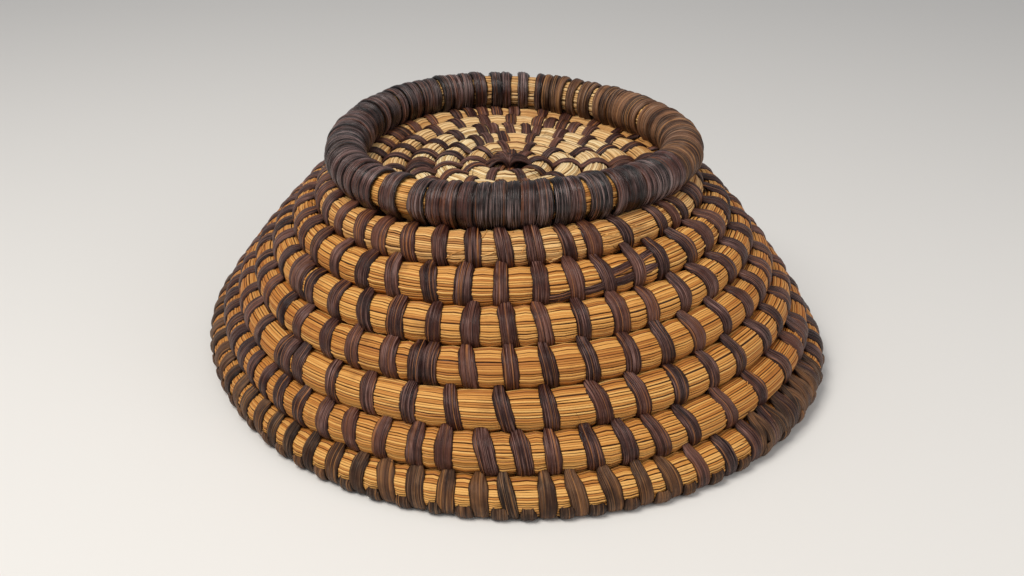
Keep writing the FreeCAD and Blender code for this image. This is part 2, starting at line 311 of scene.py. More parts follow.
def make_piece(name, mesh_data, slot, stands_for):
    """A mesh object that rides on the basket, stands for CAD nodes and has a slot's finish."""
    points, quads, grain, values = mesh_data
    points = points.copy()
    low = points[:, 2] < SOLE
    points[low, 2] = SOLE * np.exp(points[low, 2] / SOLE - 1)
    mesh = bpy.data.meshes.new(name)
    mesh.vertices.add(len(points))
    mesh.vertices.foreach_set("co", (points * MM).astype(np.float32).ravel())
    mesh.loops.add(quads.size)
    mesh.loops.foreach_set("vertex_index", quads.astype(np.int32).ravel())
    mesh.polygons.add(len(quads))
    mesh.polygons.foreach_set("loop_start", np.arange(0, quads.size, 4, dtype=np.int32))
    layer = mesh.uv_layers.new(name="grain")
    layer.data.foreach_set("uv", grain[quads.ravel()].astype(np.float32).ravel())
    for key, value in values.items():
        layer = mesh.attributes.new(key, "FLOAT", "POINT")
        layer.data.foreach_set("value", value.astype(np.float32).ravel())
    mesh.update(calc_edges=True)
    mesh.validate()
    mesh.shade_smooth()
    mesh.materials.append(MATERIALS[slot])
    piece = bpy.data.objects.new(name, mesh)
    bpy.context.collection.objects.link(piece)
    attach(piece, BODY)
    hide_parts(*stands_for)
    return piece


# Straw: stems side by side round a core, coloured near black as painted shade
STEM_SLOTS = 52
STEM_RADIUS = 0.77
STEM_SIDES = 5
CORE_SIDES = 18
CORE_DEPTH = 0.95
STATION_SHARES = (0.0, 0.25, 0.50, 0.75)
COIL_STEM_LENGTHS = (180, 600)
RING_STEM_LENGTHS = (120, 400)


def tube_quads(rows, columns, sides):
    """Quads of side-by-side tubes."""
    r, c, s = np.meshgrid(np.arange(rows - 1), np.arange(columns), np.arange(sides), indexing="ij")

    def index(row, side):
        return (row * columns + c) * sides + side % sides

    quads = [index(r, s), index(r, s + 1), index(r + 1, s + 1), index(r + 1, s)]
    return np.stack(quads, -1).reshape(-1, 4)


class Stems:
    """The stems of a bundle: where each runs, how thick it is and where one ends and another starts."""

    def __init__(self, run, slots, size, shortest, longest):
        shape = (len(run), slots)
        self.angle, self.rise, self.thick, self.tint = (np.zeros(shape) for _ in range(4))
        for slot in range(slots):
            start = run[0] - chance.uniform(0, longest)
            while start < run[-1]:
                end = start + chance.uniform(shortest, longest)
                self.lay(run, slot, np.flatnonzero((run >= start) & (run < end)), size)
                start = end

    def lay(self, run, slot, rows, size):
        """Lay one stem through these rows of a slot."""
        if len(rows) == 0:
            return
        s = run[rows]
        step = 360 / self.angle.shape[1]
        wander = sum(np.sin(s / chance.uniform(18, 70) + chance.uniform(0, FULL)) for _ in range(3))
        self.angle[rows, slot] = step * (slot + chance.uniform(-0.16, 0.16) + 0.10 * wander)
        sway = 0.12 * np.sin(s / chance.uniform(9, 30) + chance.uniform(0, FULL))
        ends = np.minimum(1, 0.7 + np.minimum(s - s[0], s[-1] - s) / 10)
        self.rise[rows, slot] = chance.normal(0, 0.16) + sway - 0.7 * (1 - ends)
        self.thick[rows, slot] = size[rows] * chance.uniform(0.88, 1.18) * ends
        self.tint[rows, slot] = chance.uniform(0, 1)


def stem_mesh(axes, radius, stems, run, rows, pale):
    """The stems of one stretch of a bundle."""
    _, out, down, along = axes
    thick = stems.thick[rows]
    a = np.radians(stems.angle[rows])[..., None]
    away = out[:, None] * np.cos(a) + down[:, None] * np.sin(a)
    middle = axes[0][:, None] + away * (radius[:, None] - thick + stems.rise[rows])[..., None]
    cross = np.cross(along[:, None], away)
    turn = FULL * (np.arange(STEM_SIDES) + 0.5) / STEM_SIDES
    ring = away[:, :, None] * np.cos(turn)[:, None] + cross[:, :, None] * np.sin(turn)[:, None]
    points = (middle[:, :, None] + ring * thick[:, :, None, None]).reshape(-1, 3)
    slots = thick.shape[1]
    count = slots * STEM_SIDES
    across = np.tile(np.arange(count) * 0.4, len(run))
    # How far each point of a stem's side lies from its outermost line; the straw finish darkens these sides
    # as painted shade in the grooves between stems
    groove_shade = (np.cos(turn).max() - np.cos(turn)).clip(0, 1)
    values = {
        "tint": np.repeat(stems.tint[rows].ravel(), STEM_SIDES),
        "groove_shade": np.tile(groove_shade, len(run) * slots),
        "core": np.zeros(len(points)),
        "pale": np.repeat(pale, count),
    }
    grain = np.stack([across, np.repeat(run, count)], -1)
    return points, tube_quads(len(run), slots, STEM_SIDES), grain, values


def core_mesh(axes, radius, run, pale):
    """The core that shows between the stems of one stretch of a bundle, coloured near black by the straw
    finish as painted shade.
    """
    centre, out, down, _ = axes
    turn = FULL * np.arange(CORE_SIDES) / CORE_SIDES
    ring = out[:, None] * np.cos(turn)[:, None] + down[:, None] * np.sin(turn)[:, None]
    depth = np.minimum(CORE_DEPTH, 0.3 * radius)
    points = (centre[:, None] + ring * (radius - depth)[:, None, None]).reshape(-1, 3)
    values = {
        "tint": np.full(len(points), 0.2),
        "groove_shade": np.ones(len(points)),
        "core": np.ones(len(points)),
        "pale": np.repeat(pale, CORE_SIDES),
    }
    grain = np.stack([np.zeros(len(points)), np.repeat(run, CORE_SIDES)], -1)
    return points, tube_quads(len(run), 1, CORE_SIDES), grain, values


def straw_mesh(axes, radius, stems, run, rows, pale):
    """The stems and the core of one stretch of a bundle."""
    axes = [a[rows] for a in axes[:4]]
    radius, run, pale = radius[rows], run[rows], pale[rows]
    skin = stem_mesh(axes, radius, stems, run, rows, pale)
    return join_meshes([skin, core_mesh(axes, radius, run, pale)])


def coil_stations():
    """Places with a ring of stem points: at each stitch and between stitches."""
    marks = np.concatenate([[0.0], ALL_PLACES, [COIL_END]])
    rows = [marks[:-1] + (marks[1:] - marks[:-1]) * share for share in STATION_SHARES]
    return np.unique(np.concatenate(rows + [np.arange(COIL_END), [COIL_END]]))


# The straw is palest this many turns from the eye, and less so for this many turns on each side
PALEST_TURN = 2.2
PALE_SPREAD_TURNS = 4.8


def make_straw_coil():
    """The straw of the coil, a piece per turn."""
    at = coil_stations()
    axes = COIL.sample(at)
    run = COIL.run(at)
    radius = swollen(axes[4]) * tightness(at)
    size = STEM_RADIUS * np.clip(axes[4] / 8, 0.3, 1)
    stems = Stems(run, STEM_SLOTS, size, *COIL_STEM_LENGTHS)
    pale = np.clip(1.25 * (1 - abs(at - PALEST_TURN) / PALE_SPREAD_TURNS), 0, 1)
    for turn in range(LAST_TURN + 1):
        first = int(np.searchsorted(at, turn - 1e-9))
        last = int(np.searchsorted(at, min(turn + 1, COIL_END) - 1e-9))
        mesh = straw_mesh(axes, radius, stems, run, slice(first, last + 1), pale)
        node = "straw_coil_base" if turn < BASE_TURNS else "straw_coil"
        make_piece(f"straw_turn_{turn + 1}", mesh, "straw", [node])


# The foot ring's straw lies a little under its wrap, and more straw packs the slit below the ring
RING_STRAW_INSET = 0.75
PACKING_DROP = 9.6
PACKING_RADIUS = 3.4
PACKING_STEMS = 20
PACKING_STEM_RADIUS = 0.7


def make_ring_straw():
    """The straw hoop of the foot ring, which shows where its wrap has gaps, and its packing."""
    at = np.linspace(-math.pi, math.pi, 180)
    axes = RING.sample(at)
    run = RING.run(at)
    size = np.full(len(at), STEM_RADIUS)
    stems = Stems(run, STEM_SLOTS, size, *RING_STEM_LENGTHS)
    pale = np.where(np.sin(at) > 0, 0.55, 0.1)
    mesh = straw_mesh(axes, axes[4] - RING_STRAW_INSET, stems, run, slice(0, len(at)), pale)
    make_piece("foot_ring_straw", mesh, "straw", ["foot_ring_core"])
    size = np.full(len(at), PACKING_STEM_RADIUS)
    stems = Stems(run, PACKING_STEMS, size, *RING_STEM_LENGTHS)
    low = (axes[0] - np.array([0, 0, PACKING_DROP]), *axes[1:4])
    mesh = straw_mesh(low, size * 0 + PACKING_RADIUS, stems, run, slice(0, len(at)), pale)
    make_piece("foot_ring_packing", mesh, "straw", ["foot_ring_core"])


# Splints: strips of split bark with lengthwise ridges and rolled edges
RIDGES = 11
SPLINT_THICKNESS = 2.0
UNDERSIDE = 0.5


def bark_strips(middle, normal, across, half, closed, thickness=SPLINT_THICKNESS, tilt=0.0):
    """Strips of bark along these lines of points, each with its own normals and half widths."""
    strips, rows = half.shape
    x = np.linspace(-1, 1, RIDGES)
    count = chance.uniform(2.2, 4.6, (strips, 1, 1))
    phase = chance.uniform(0, FULL, (strips, 1, 1))
    depth = chance.uniform(0.10, 0.26, (strips, 1, 1))
    ridges = depth * np.cos(count * math.pi * x + phase) + chance.normal(0, 0.035, (strips, 1, RIDGES))
    grain = chance.normal(0, 0.022, (strips, rows, RIDGES))
    arch = thickness * (1 - 0.60 * abs(x) ** 3.5)
    top = arch + (ridges + grain) * (1 - abs(x) ** 8) + tilt * x
    reach = np.concatenate([top, np.full((strips, rows, 2), -UNDERSIDE)], -1)
    side = np.concatenate([x, [0.92, -0.92]]) * half[..., None]
    points = middle[:, :, None] + normal[:, :, None] * reach[..., None]
    points = points + across[:, :, None] * side[..., None]
    columns = RIDGES + 2
    lengths = rows if closed else rows - 1
    strip, row, column = np.meshgrid(
        np.arange(strips), np.arange(lengths), np.arange(columns), indexing="ij"
    )

    def index(r, c):
        return (strip * rows + r % rows) * columns + c % columns

    quads = [index(row, column), index(row, column + 1), index(row + 1, column + 1), index(row + 1, column)]
    steps = np.linalg.norm(np.diff(middle, axis=1), axis=2)
    along = np.concatenate([np.zeros((strips, 1)), np.cumsum(steps, axis=1)], axis=1)
    u = side + chance.uniform(0, 900, (strips, 1, 1))
    v = along[..., None] + chance.uniform(0, 900, (strips, 1, 1)) + 0 * u
    tint = chance.uniform(0, 1, (strips, 1, 1)) + 0 * u
    # Distance across from the strip's middle, which the bark finish uses to paint shade along the edges
    edge_shade = abs(np.concatenate([x, [1, -1]])) + 0 * u
    values = {"tint": tint.ravel(), "edge_shade": edge_shade.ravel()}
    quads = np.stack(quads, -1).reshape(-1, 4)
    return points.reshape(-1, 3), quads, np.stack([u, v], -1).reshape(-1, 2), values


def loops(place, under, shift, width, narrow, steps, first=-180.0, last=180.0, **form):
    """Strips bent round a bundle, whole loops or part of the way round.

    under, shift and narrow are functions of the angle round the bundle, in degrees: the distance
    of the strip's underside from the centre, its slide along the bundle, and its share of width.
    """
    centre, out, down, along = place[:4]
    closed = last - first >= 360
    angle = np.linspace(first, last, steps, endpoint=not closed)
    angle = np.broadcast_to(angle, (len(centre), steps))
    a = np.radians(angle)[..., None]
    ray = out[:, None] * np.cos(a) + down[:, None] * np.sin(a)
    middle = centre[:, None] + ray * under(angle)[..., None] + along[:, None] * shift(angle)[..., None]
    phase = chance.uniform(0, FULL, (len(centre), 2))
    wave = 1 + 0.05 * np.sin(3 * a[..., 0] + phase[:, :1]) + 0.03 * np.sin(7 * a[..., 0] + phase[:, 1:])
    half = width[:, None] / 2 * narrow(angle) * wave
    across = np.broadcast_to(along[:, None], ray.shape)
    return bark_strips(middle, ray, across, half, closed, **form)


# A stitch comes out of the turn inside it as a point at -88 degrees and widens on its way down
BITE_RISE = 4.8
BITE_REACH = 24.0
BITE_ANGLE = -88.0
POINT_SHARE = 0.40
BELOW_SHARE = 0.75
STITCH_STEPS = 44


def stitch_width(angle):
    """A stitch's share of its full width, by the angle round the bundle."""
    top = mix(POINT_SHARE, 1.0, ease((angle + 92) / 58))
    inside = mix(POINT_SHARE, BELOW_SHARE, ease((-92 - angle) / 60))
    below = mix(1.0, BELOW_SHARE, ease((angle - 70) / 70))
    return np.where(angle < -92, inside, np.where(angle < 20, top, below))


# Splints are wider at the left and right of the wall than at the front
SIDE_WIDTH = 0.34


def side_share(rows):
    """How far to the left or right of the basket each of these stitches lies, from 0 to 1."""
    return ease((abs(np.cos(SPIRAL_START - FULL * rows[:, 0])) - 0.68) / 0.27)


def stitch_loops(rows, width, **form):
    """Stitches, each a loop round its turn that goes through the turn inside it."""
    place = COIL.sample(rows[:, 0])
    bundle = (swollen(place[4]) * (1 - PINCH) - 0.2)[:, None]
    count = len(rows)
    bite = (BITE_RISE * np.minimum(1, place[4] / 8) * chance.uniform(0.7, 1.2, count))[:, None]
    bitten = chance.normal(BITE_ANGLE, 4, (count, 1))
    bow = chance.normal(0, 0.5, (count, 1))
    lean = np.tan(rows[:, 2])[:, None]
    lift = chance.uniform(-0.1, 0.25, (count, 1))

    def under(angle):
        away = (angle - bitten + 180) % 360 - 180
        return bundle + lift + bite * np.exp(-((away / BITE_REACH) ** 2))

    def shift(angle):
        a = np.radians(angle)
        return bundle * np.sin(a) * lean + bow * np.cos(a)

    return loops(place, under, shift, width * rows[:, 1], stitch_width, STITCH_STEPS, **form)


# The base's splints are narrower, as shares of the full width, most of all in the middle
BASE_WIDTHS = (0.50, 0.60, 0.68, 0.74, 0.78, 0.84)


def make_stitches():
    """The stitches of each turn but the rim's, a piece per turn."""
    for turn, rows in enumerate(STITCHES[:-1]):
        wall = turn - BASE_TURNS + 1
        node = f"wall_stitches_{wall}" if wall > 0 else f"base_stitches_{turn + 1}"
        width = SPLINT_WIDTH * (BASE_WIDTHS[turn] if turn < BASE_TURNS else 1)
        rows = np.concatenate([rows, TWINS[turn]])
        if wall > 0:
            width = width * (1 + SIDE_WIDTH * side_share(rows))
        mesh = stitch_loops(rows, width)
        make_piece(node.replace("stitches", "splints"), mesh, "bark_splint", [node])


# The rim's border: beside each long stitch, a short strip over the lower part of the last turn
BORDER_TOP = 24.0
BORDER_END = 200.0
BORDER_EASE = 14.0
BORDER_STEPS = 20
BORDER_GAP = SPLINT_WIDTH * 0.98


def make_rim():
    """The rim's long stitches, which go round under the last turn, and its short border strips."""
    rows = STITCHES[-1]
    last = stitch_loops(rows, SPLINT_WIDTH * (1 + SIDE_WIDTH / 2 * side_share(rows)))
    lower = np.concatenate([STITCHES[-2], rows])
    lower = lower[(lower[:, 0] > TAIL_START - 1) & (lower[:, 0] < TAIL_START)]
    place = COIL.sample(COIL.place(COIL.run(lower[:, 0]) - BORDER_GAP))
    count = len(lower)
    bundle = (swollen(place[4]) + 0.15)[:, None]
    top = chance.normal(0, 5, (count, 1))
    width = SPLINT_WIDTH * chance.uniform(0.85, 1.08, count)

    def under(angle):
        return bundle - 1.2 * ease((BORDER_TOP + BORDER_EASE - angle) / BORDER_EASE) + 0 * top

    def shift(angle):
        return np.sin(np.radians(angle)) * -0.8 + 0 * top

    def narrow(angle):
        return 0.55 + 0.45 * ease((angle - BORDER_TOP + 4 - top) / BORDER_EASE)

    reach = {"first": BORDER_TOP, "last": BORDER_END}
    short = loops(place, under, shift, width, narrow, BORDER_STEPS, **reach)
    make_piece("rim_splints", join_meshes([last, short]), "rim_splint", ["rim_stitches"])


END_THICKNESS = 2.1


def make_rim_end():
    """The close, uneven wraps that bind the thin tail of the bundle at the right of the front."""
    mesh = stitch_loops(END_ROWS, SPLINT_WIDTH, thickness=END_THICKNESS)
    make_piece("rim_end_splints", mesh, "rim_splint", ["rim_end_wrap"])


TAIL_STEPS = 30
TAIL_THICKNESS = 0.75


def make_tails():
    """The two splint ends that lie aslant on the second course, under its stitches."""
    share = np.linspace(0, 1, TAIL_STEPS)
    meshes = []
    for start, end in TAILS:
        angle = np.radians(mix(start[0], end[0], share))
        around = np.radians(mix(start[1], end[1], share))[:, None]
        at = TAIL_TURN + (SPIRAL_START - angle) / FULL
        centre, out, down, _, radius = COIL.sample(at)
        radius = swollen(radius) * np.minimum(1, tightness(at)) - 0.1
        ray = out * np.cos(around) + down * np.sin(around)
        across = down * np.cos(around) - out * np.sin(around)
        half = TAIL_WIDTH / 2 * (0.45 + 0.55 * ease(6 * (1 - abs(2 * share - 1))))
        middle = centre + ray * radius[:, None]
        strip = (middle[None], ray[None], across[None], half[None])
        meshes.append(bark_strips(*strip, False, thickness=TAIL_THICKNESS))
    make_piece("loose_splint_ends", join_meshes(meshes), "bark_splint", ["splint_tail"])


# The dark fan in the middle of the base: its strips start in front of the eye and spread back
FAN_STRIPS = 14
FAN_REACH = 18.0
FAN_START = (0.0, -4.5)
FAN_ANGLES = (-0.35, 3.5)
FAN_STEPS = 16
FAN_THICKNESS = 1.0


def make_fan():
    """The strips that fan out from the eye of the spiral, folded from the first splint."""
    share = np.linspace(0, 1, FAN_STEPS)[None]
    angle = np.linspace(*FAN_ANGLES, FAN_STRIPS) + chance.normal(0, 0.12, FAN_STRIPS)
    angle = angle[:, None]
    bend = chance.normal(0, 0.35, (FAN_STRIPS, 1)) * share
    reach = FAN_REACH * chance.uniform(0.75, 1.1, (FAN_STRIPS, 1))
    radius = 0.2 + reach * share
    eye = COIL.sample(np.array([0.0]))[0][0]
    top = swollen(BASE_PITCH / 2) + 0.6 + chance.uniform(0, 0.9, (FAN_STRIPS, 1))
    arch = np.sin(math.pi * (0.05 + 0.90 * share ** 0.7)) ** 0.6
    height = eye[2] - 3.0 + (top + 2.6) * arch
    x = AXIS[0] + TOP_OFFSET[0] + FAN_START[0] + radius * np.cos(angle + bend)
    y = AXIS[1] + TOP_OFFSET[1] + FAN_START[1] + radius * np.sin(angle + bend)
    middle = np.stack([x, y, height], -1)
    run = np.gradient(middle, axis=1)
    run /= np.linalg.norm(run, axis=2)[..., None]
    across = np.stack([-np.sin(angle + bend), np.cos(angle + bend), 0 * x], -1)
    normal = np.cross(run, across)
    normal *= np.sign(normal[..., 2:3] + 1e-9)
    half = mix(2.3, 2.5, ease(share * 2)) * chance.uniform(0.8, 1.2, (FAN_STRIPS, 1))
    mesh = bark_strips(middle, normal, across, half, False, thickness=FAN_THICKNESS)
    make_piece("centre_fan", mesh, "bark_splint", ["centre_knot"])


# The foot ring's wrap: the gaps that show straw, as plan angle and width in degrees
RING_GAPS = (
    (-129.5, 2.2), (-120.3, 4.0), (-77.3, 1.5), (-67.3, 1.8), (-58.5, 1.6), (24.0, 1.6),
    (51.5, 2.6), (59.5, 1.6), (65.0, 2.4), (80.5, 3.2), (88.0, 2.0), (98.5, 2.6),
)
BROWN_WRAPS = (-30.0, 75.0)
DARK_WIDTH = 8.2
BROWN_WIDTH = 6.0
WRAP_OVERLAP = 1.10
WRAP_STEPS = 48
WRAP_SINK = 0.4
WRAP_DIP = 3.4
WRAP_DIP_REACH = 28.0


def ring_wrap_rows():
    """Plan angle and width in millimetres of each wrap, fitted between the gaps."""
    degree = RING_RADIUS * math.radians(1)
    edges = [(a - w / 2, a + w / 2) for a, w in RING_GAPS]
    rows = []
    for (_, start), (end, _) in zip(edges, edges[1:] + [(edges[0][0] + 360, 0)]):
        middle = (start + end) / 2
        nominal = BROWN_WIDTH if BROWN_WRAPS[0] < middle < BROWN_WRAPS[1] else DARK_WIDTH
        count = max(1, round((end - start) * degree / nominal))
        pitch = (end - start) / count
        overlap = WRAP_OVERLAP if count > 1 else 1.0
        for i in range(count):
            angle = (start + pitch * (i + 0.5) + 180) % 360 - 180
            rows.append((angle, pitch * degree * overlap * chance.uniform(0.9, 1.1)))
    return np.array(rows)


def make_ring_wraps():
    """The foot ring's two lots of wraps, which dip into the base where they are sewn to it."""
    rows = ring_wrap_rows()
    brown = (rows[:, 0] > BROWN_WRAPS[0]) & (rows[:, 0] < BROWN_WRAPS[1])
    for some, name in ((rows[~brown], "dark"), (rows[brown], "brown")):
        count = len(some)
        place = RING.sample(np.radians(some[:, 0]))
        lean = chance.normal(0, 0.06, (count, 1))
        lift = chance.uniform(-0.3, 0.7, (count, 1))
        tilt = chance.uniform(0.25, 0.8, (count, 1, 1))

        def under(angle):
            dip = WRAP_DIP * np.exp(-(((180 - abs(angle)) / WRAP_DIP_REACH) ** 2))
            return RING_CORE_RADIUS - WRAP_SINK + lift + dip

        def shift(angle):
            return RING_CORE_RADIUS * np.sin(np.radians(angle)) * lean

        def narrow(angle):
            return 1 + 0.10 * np.sin(np.radians(angle)) + 0 * lean

        mesh = loops(place, under, shift, some[:, 1], narrow, WRAP_STEPS, tilt=tilt)
        wrap = f"foot_ring_wrap_{name}"
        make_piece(f"foot_ring_splints_{name}", mesh, f"ring_splint_{name}", [wrap])


# Loose straws and fibres
def strands(run, around, length, heading, lift, size, sides=4, steps=7):
    """Thin tubes on the coil, from these lengths along it and angles round it.

    heading is the angle from the bundle's direction, and lift how far the far end stands off.
    """
    share = np.linspace(0, 1, steps)[None]
    bend = chance.normal(0, 0.5, (len(run), 1)) * share
    step = length[:, None] * share
    at = COIL.place(run[:, None] + step * np.cos(heading[:, None] + bend))
    centre, out, down, _, radius = COIL.sample(at)
    radius = swollen(radius) * tightness(at.ravel()).reshape(at.shape)
    turn = np.radians(around)[:, None] + step * np.sin(heading[:, None] + bend) / radius
    ray = out * np.cos(turn)[..., None] + down * np.sin(turn)[..., None]
    stand = size[:, None] * 0.4 + lift[:, None] * share ** 2
    middle = centre + ray * (radius + stand)[..., None]
    along = np.gradient(middle, axis=1)
    along /= np.linalg.norm(along, axis=2)[..., None]
    cross = np.cross(along, ray)
    thick = size[:, None] * (1 - 0.55 * share)
    angle = FULL * np.arange(sides) / sides
    ring = ray[:, :, None] * np.cos(angle)[:, None] + cross[:, :, None] * np.sin(angle)[:, None]
    points = (middle[:, :, None] + ring * thick[:, :, None, None]).transpose(1, 0, 2, 3)
    quads = tube_quads(steps, len(run), sides)
    across = np.broadcast_to(angle, points.shape[:3])
    grain = np.stack([across, 9 * share.T[..., None] + 0 * points[..., 0]], -1)
    tint = np.broadcast_to(chance.uniform(0, 1, (len(run), 1)), points.shape[:3])
    return points.reshape(-1, 3), quads, grain.reshape(-1, 2), tint.ravel()


LOOSE_STRAWS = 56
LOOSE_FIBRES = 420


def make_loose_straws():
    """Broken straws that lie across the bundles, most of them on the first course at the front."""
    front = COIL.run(BASE_TURNS + chance.uniform(-0.03, 0.11, LOOSE_STRAWS // 2))
    other = COIL.run(chance.uniform(1.5, COIL_END - 0.4, LOOSE_STRAWS - LOOSE_STRAWS // 2))
    run = np.concatenate([front, other])
    count = len(run)
    heading = chance.choice([0.0, math.pi], count) + chance.normal(0, 0.35, count)
    points, quads, grain, tint = strands(
        run, chance.uniform(-55, 70, count), chance.uniform(7, 18, count), heading,
        chance.uniform(0, 0.5, count), chance.uniform(0.28, 0.5, count),
    )
    zero = np.zeros(len(points))
    mesh = (points, quads, grain, {"tint": tint, "groove_shade": zero, "core": zero, "pale": zero + 0.15})
    make_piece("loose_straws", mesh, "straw", ["straw_coil"])


def make_loose_fibres():
    """Fine bark fibres that stand out of the grooves between the turns."""
    run = COIL.run(chance.uniform(0.3, COIL_END - 0.2, LOOSE_FIBRES))
    around = chance.choice([-1, 1], LOOSE_FIBRES) * chance.uniform(62, 92, LOOSE_FIBRES)
    points, quads, grain, tint = strands(
        run, around, chance.uniform(4, 15, LOOSE_FIBRES), chance.uniform(0, FULL, LOOSE_FIBRES),
        chance.uniform(0, 2.6, LOOSE_FIBRES), chance.uniform(0.10, 0.24, LOOSE_FIBRES), sides=3,
    )
    mesh = (points, quads, grain, {"tint": tint, "edge_shade": np.zeros(len(points))})
    make_piece("loose_fibres", mesh, "rim_splint", ["rim_stitches"])


# Materials
def new_material(name):
    """A material with a shader and its node tree, ready to wire."""
    material = bpy.data.materials.new(name)
    material.use_nodes = True
    tree = material.node_tree
    tree.nodes.clear()
    shader = tree.nodes.new("ShaderNodeBsdfPrincipled")
    output = tree.nodes.new("ShaderNodeOutputMaterial")
    tree.links.new(shader.outputs[0], output.inputs[0])
    return material, tree, shader


def node(tree, kind, inputs=(), **settings):
    """A node with its settings, and its inputs linked or set."""
    made = tree.nodes.new(kind)
    for key, value in settings.items():
        setattr(made, key, value)
    for key, value in dict(inputs).items():
        if isinstance(value, bpy.types.NodeSocket):
            tree.links.new(value, made.inputs[key])
        else:
            made.inputs[key].default_value = value
    return made


def attribute(tree, name):
    """A mesh value's output."""
    return node(tree, "ShaderNodeAttribute", attribute_name=name).outputs["Fac"]


def ramp(tree, value, stops):
    """A colour ramp over a value. stops are place and colour."""
    made = node(tree, "ShaderNodeValToRGB", {"Fac": value})
    elements = made.color_ramp.elements
    while len(elements) < len(stops):
        elements.new(0.5)
    for element, (place, colour) in zip(elements, stops):
        element.position = place
        element.color = (*colour, 1)
    return made.outputs["Color"]


def noise(tree, vector, scale, detail=3.0, roughness=0.55):
    """A noise value's output."""
    inputs = {"Vector": vector, "Scale": scale, "Detail": detail, "Roughness": roughness}
    return node(tree, "ShaderNodeTexNoise", inputs).outputs["Fac"]


def calculate(tree, operation, a, b):
    """The result of a sum or product of two values."""
    return node(tree, "ShaderNodeMath", {0: a, 1: b}, operation=operation).outputs[0]


def weighted(tree, *pairs):
    """The sum of values times their weights."""
    total = 0.0
    for value, weight in pairs:
        total = calculate(tree, "ADD", total, calculate(tree, "MULTIPLY", value, weight))
    return total


def blend(tree, share, a, b):
    """Two colours mixed by a share."""
    made = node(tree, "ShaderNodeMix", data_type="RGBA")
    for socket, value in ((made.inputs["Factor"], share), (made.inputs[6], a), (made.inputs[7], b)):
        if isinstance(value, bpy.types.NodeSocket):
            tree.links.new(value, socket)
        else:
            socket.default_value = (*value, 1)
    return made.outputs[2]


def scaled(tree, vector, scale):
    """Coordinates stretched by a scale on each axis."""
    return node(tree, "ShaderNodeMapping", {"Vector": vector, "Scale": scale}).outputs[0]


def remap(tree, value, low, high, new_low, new_high):
    """A value brought from one range to another."""
    inputs = {"Value": value, "From Min": low, "From Max": high, "To Min": new_low, "To Max": new_high}
    return node(tree, "ShaderNodeMapRange", inputs).outputs[0]


def bump(tree, shader, height, strength, distance):
    """Relief on a shader, from a height value."""
    made = node(tree, "ShaderNodeBump", {"Height": height, "Strength": strength, "Distance": distance})
    tree.links.new(made.outputs[0], shader.inputs["Normal"])


GOLD = (
    (0.08, (0.150, 0.040, 0.008)), (0.30, (0.380, 0.130, 0.020)), (0.52, (0.580, 0.250, 0.050)),
    (0.76, (0.740, 0.390, 0.105)), (0.98, (0.860, 0.560, 0.210)),
)
# Paler straw tones, mixed in by turn from the eye of the spiral
PALE_TONES = ((0.1, (0.36, 0.190, 0.060)), (0.5, (0.78, 0.54, 0.25)), (0.95, (0.92, 0.80, 0.52)))


def straw_material():
    """Golden straw: each stem has its own tone, with fine lines along it, stains, deeper orange towards the
    left and right, and painted shade in the grooves between the stems and on the core.
    """
    material, tree, shader = new_material("straw")
    grain = node(tree, "ShaderNodeUVMap", uv_map="grain").outputs[0]
    place = node(tree, "ShaderNodeTexCoord").outputs["Object"]
    along = noise(tree, scaled(tree, grain, (1.6, 0.035, 1)), 1.0, 4.0)
    patch = noise(tree, place, 16.0, 3.0)
    tone = weighted(tree, (attribute(tree, "tint"), 0.50), (along, 0.50), (patch, 0.10))
    gold = ramp(tree, tone, GOLD)
    pale = ramp(tree, tone, PALE_TONES)
    patchy = remap(tree, patch, 0.36, 0.56, 0.35, 1.0)
    pale_share = calculate(tree, "MULTIPLY", attribute(tree, "pale"), patchy)
    colour = blend(tree, pale_share, gold, pale)
    stain = remap(tree, noise(tree, place, 42.0, 5.0, 0.65), 0.55, 0.75, 0.0, 0.55)
    colour = blend(tree, stain, colour, (0.15, 0.050, 0.012))
    side = node(tree, "ShaderNodeSeparateXYZ", {"Vector": place}).outputs[0]
    side = remap(tree, calculate(tree, "ABSOLUTE", side, 0), 0.09, 0.17, 0.0, 0.5)
    colour = blend(tree, side, colour, (0.42, 0.135, 0.020))
    # Painted shade: the sides of each stem are darkened towards the grooves between the stems
    groove_shade = remap(tree, attribute(tree, "groove_shade"), 0.03, 0.34, 0.0, 0.85)
    colour = blend(tree, groove_shade, colour, (0.13, 0.036, 0.010))
    # Painted shade: the core between the stems is coloured near black
    colour = blend(tree, remap(tree, attribute(tree, "core"), 0, 1, 0.0, 0.94), colour, (0.045, 0.016, 0.006))
    tree.links.new(colour, shader.inputs["Base Color"])
    fine = noise(tree, scaled(tree, grain, (9.0, 0.10, 1)), 1.0, 2.0)
    tree.links.new(remap(tree, fine, 0.3, 0.7, 0.42, 0.66), shader.inputs["Roughness"])
    shader.inputs["Specular IOR Level"].default_value = 0.30
    bump(tree, shader, fine, 0.35, 0.0003)
    return material


